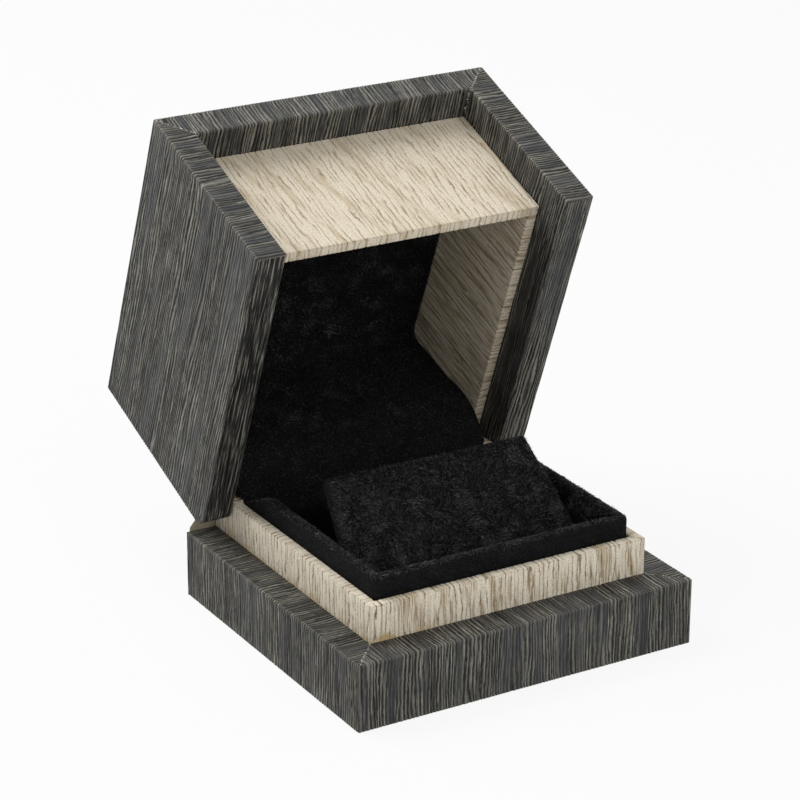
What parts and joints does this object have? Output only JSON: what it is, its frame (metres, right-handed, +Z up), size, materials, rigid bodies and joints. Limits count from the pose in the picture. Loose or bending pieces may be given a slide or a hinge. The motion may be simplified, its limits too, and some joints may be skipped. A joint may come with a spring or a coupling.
{
  "type": "earring box",
  "caption": "Small hinged presentation box with a raised wrapped plinth, a velvet tray, a tilting velvet flap that holds a pair of earrings, and a deep lid.",
  "frame": {"origin": "centre of the base's underside", "axes": "+Z up, +X to the box's right as seen from its open front, +Y towards the hinge side"},
  "size_m": [0.073, 0.1011, 0.0945],
  "materials": {
    "mdf": "raw pressed fibre",
    "greyboard": "matte grey card",
    "dark_paper": "charcoal wood-grain textured paper, satin",
    "oak_paper": "light oak-grain textured paper, satin",
    "plush": "short black plush velvet",
    "foam": "soft foam",
    "hinge_steel": "plated spring steel",
    "screw_steel": "zinc-plated",
    "black_paper": "matte black paper"
  },
  "bodies": {
    "base": {"base_bottom_board": "mdf", "base_front_rail": "mdf", "base_left_rail": "mdf", "base_right_rail": "mdf", "base_back_board": "mdf", "plinth_front_board": "greyboard", "plinth_left_board": "greyboard", "plinth_right_board": "greyboard", "tray_left_wall": "greyboard", "tray_right_wall": "greyboard", "tray_front_wall": "greyboard", "tray_back_wall": "greyboard", "tray_floor": "greyboard", "pad_shelf": "greyboard", "pad_prop": "greyboard", "base_wrap": "dark_paper", "base_hinge_strip": "dark_paper", "plinth_wrap": "oak_paper", "tray_velvet": "plush", "hinge_velvet": "plush", "shelf_velvet": "plush", "pad_block": "foam", "hinge_base_leaf": "hinge_steel", "hinge_pin": "hinge_steel", "hinge_spring": "hinge_steel", "base_leaf_screws": "screw_steel", "underside_sheet": "black_paper"},
    "lid": {"lid_top_board": "mdf", "lid_left_cheek": "mdf", "lid_right_cheek": "mdf", "lid_back_board": "mdf", "lid_wrap": "dark_paper", "lid_hinge_strip": "dark_paper", "inner_front_panel": "greyboard", "inner_left_panel": "greyboard", "inner_right_panel": "greyboard", "inner_wrap": "oak_paper", "lining_card": "greyboard", "lining_foam": "foam", "back_foam": "foam", "lid_velvet": "plush", "hinge_lid_leaf": "hinge_steel", "lid_leaf_screws": "screw_steel"},
    "pad": {"pad_card": "greyboard", "pad_velvet": "plush"}
  },
  "joints": [
    {"name": "lid_hinge", "type": "hinge", "parent": "base", "child": "lid", "pos_m": [0, 0.0324, 0.0197], "axis": [-1, 0, 0], "range_deg": [-69, 0]},
    {"name": "flap_crease", "type": "hinge", "parent": "base", "child": "pad", "pos_m": [0, -0.0109, 0.0171], "axis": [1, 0, 0], "range_deg": [0, 46]}
  ]
}
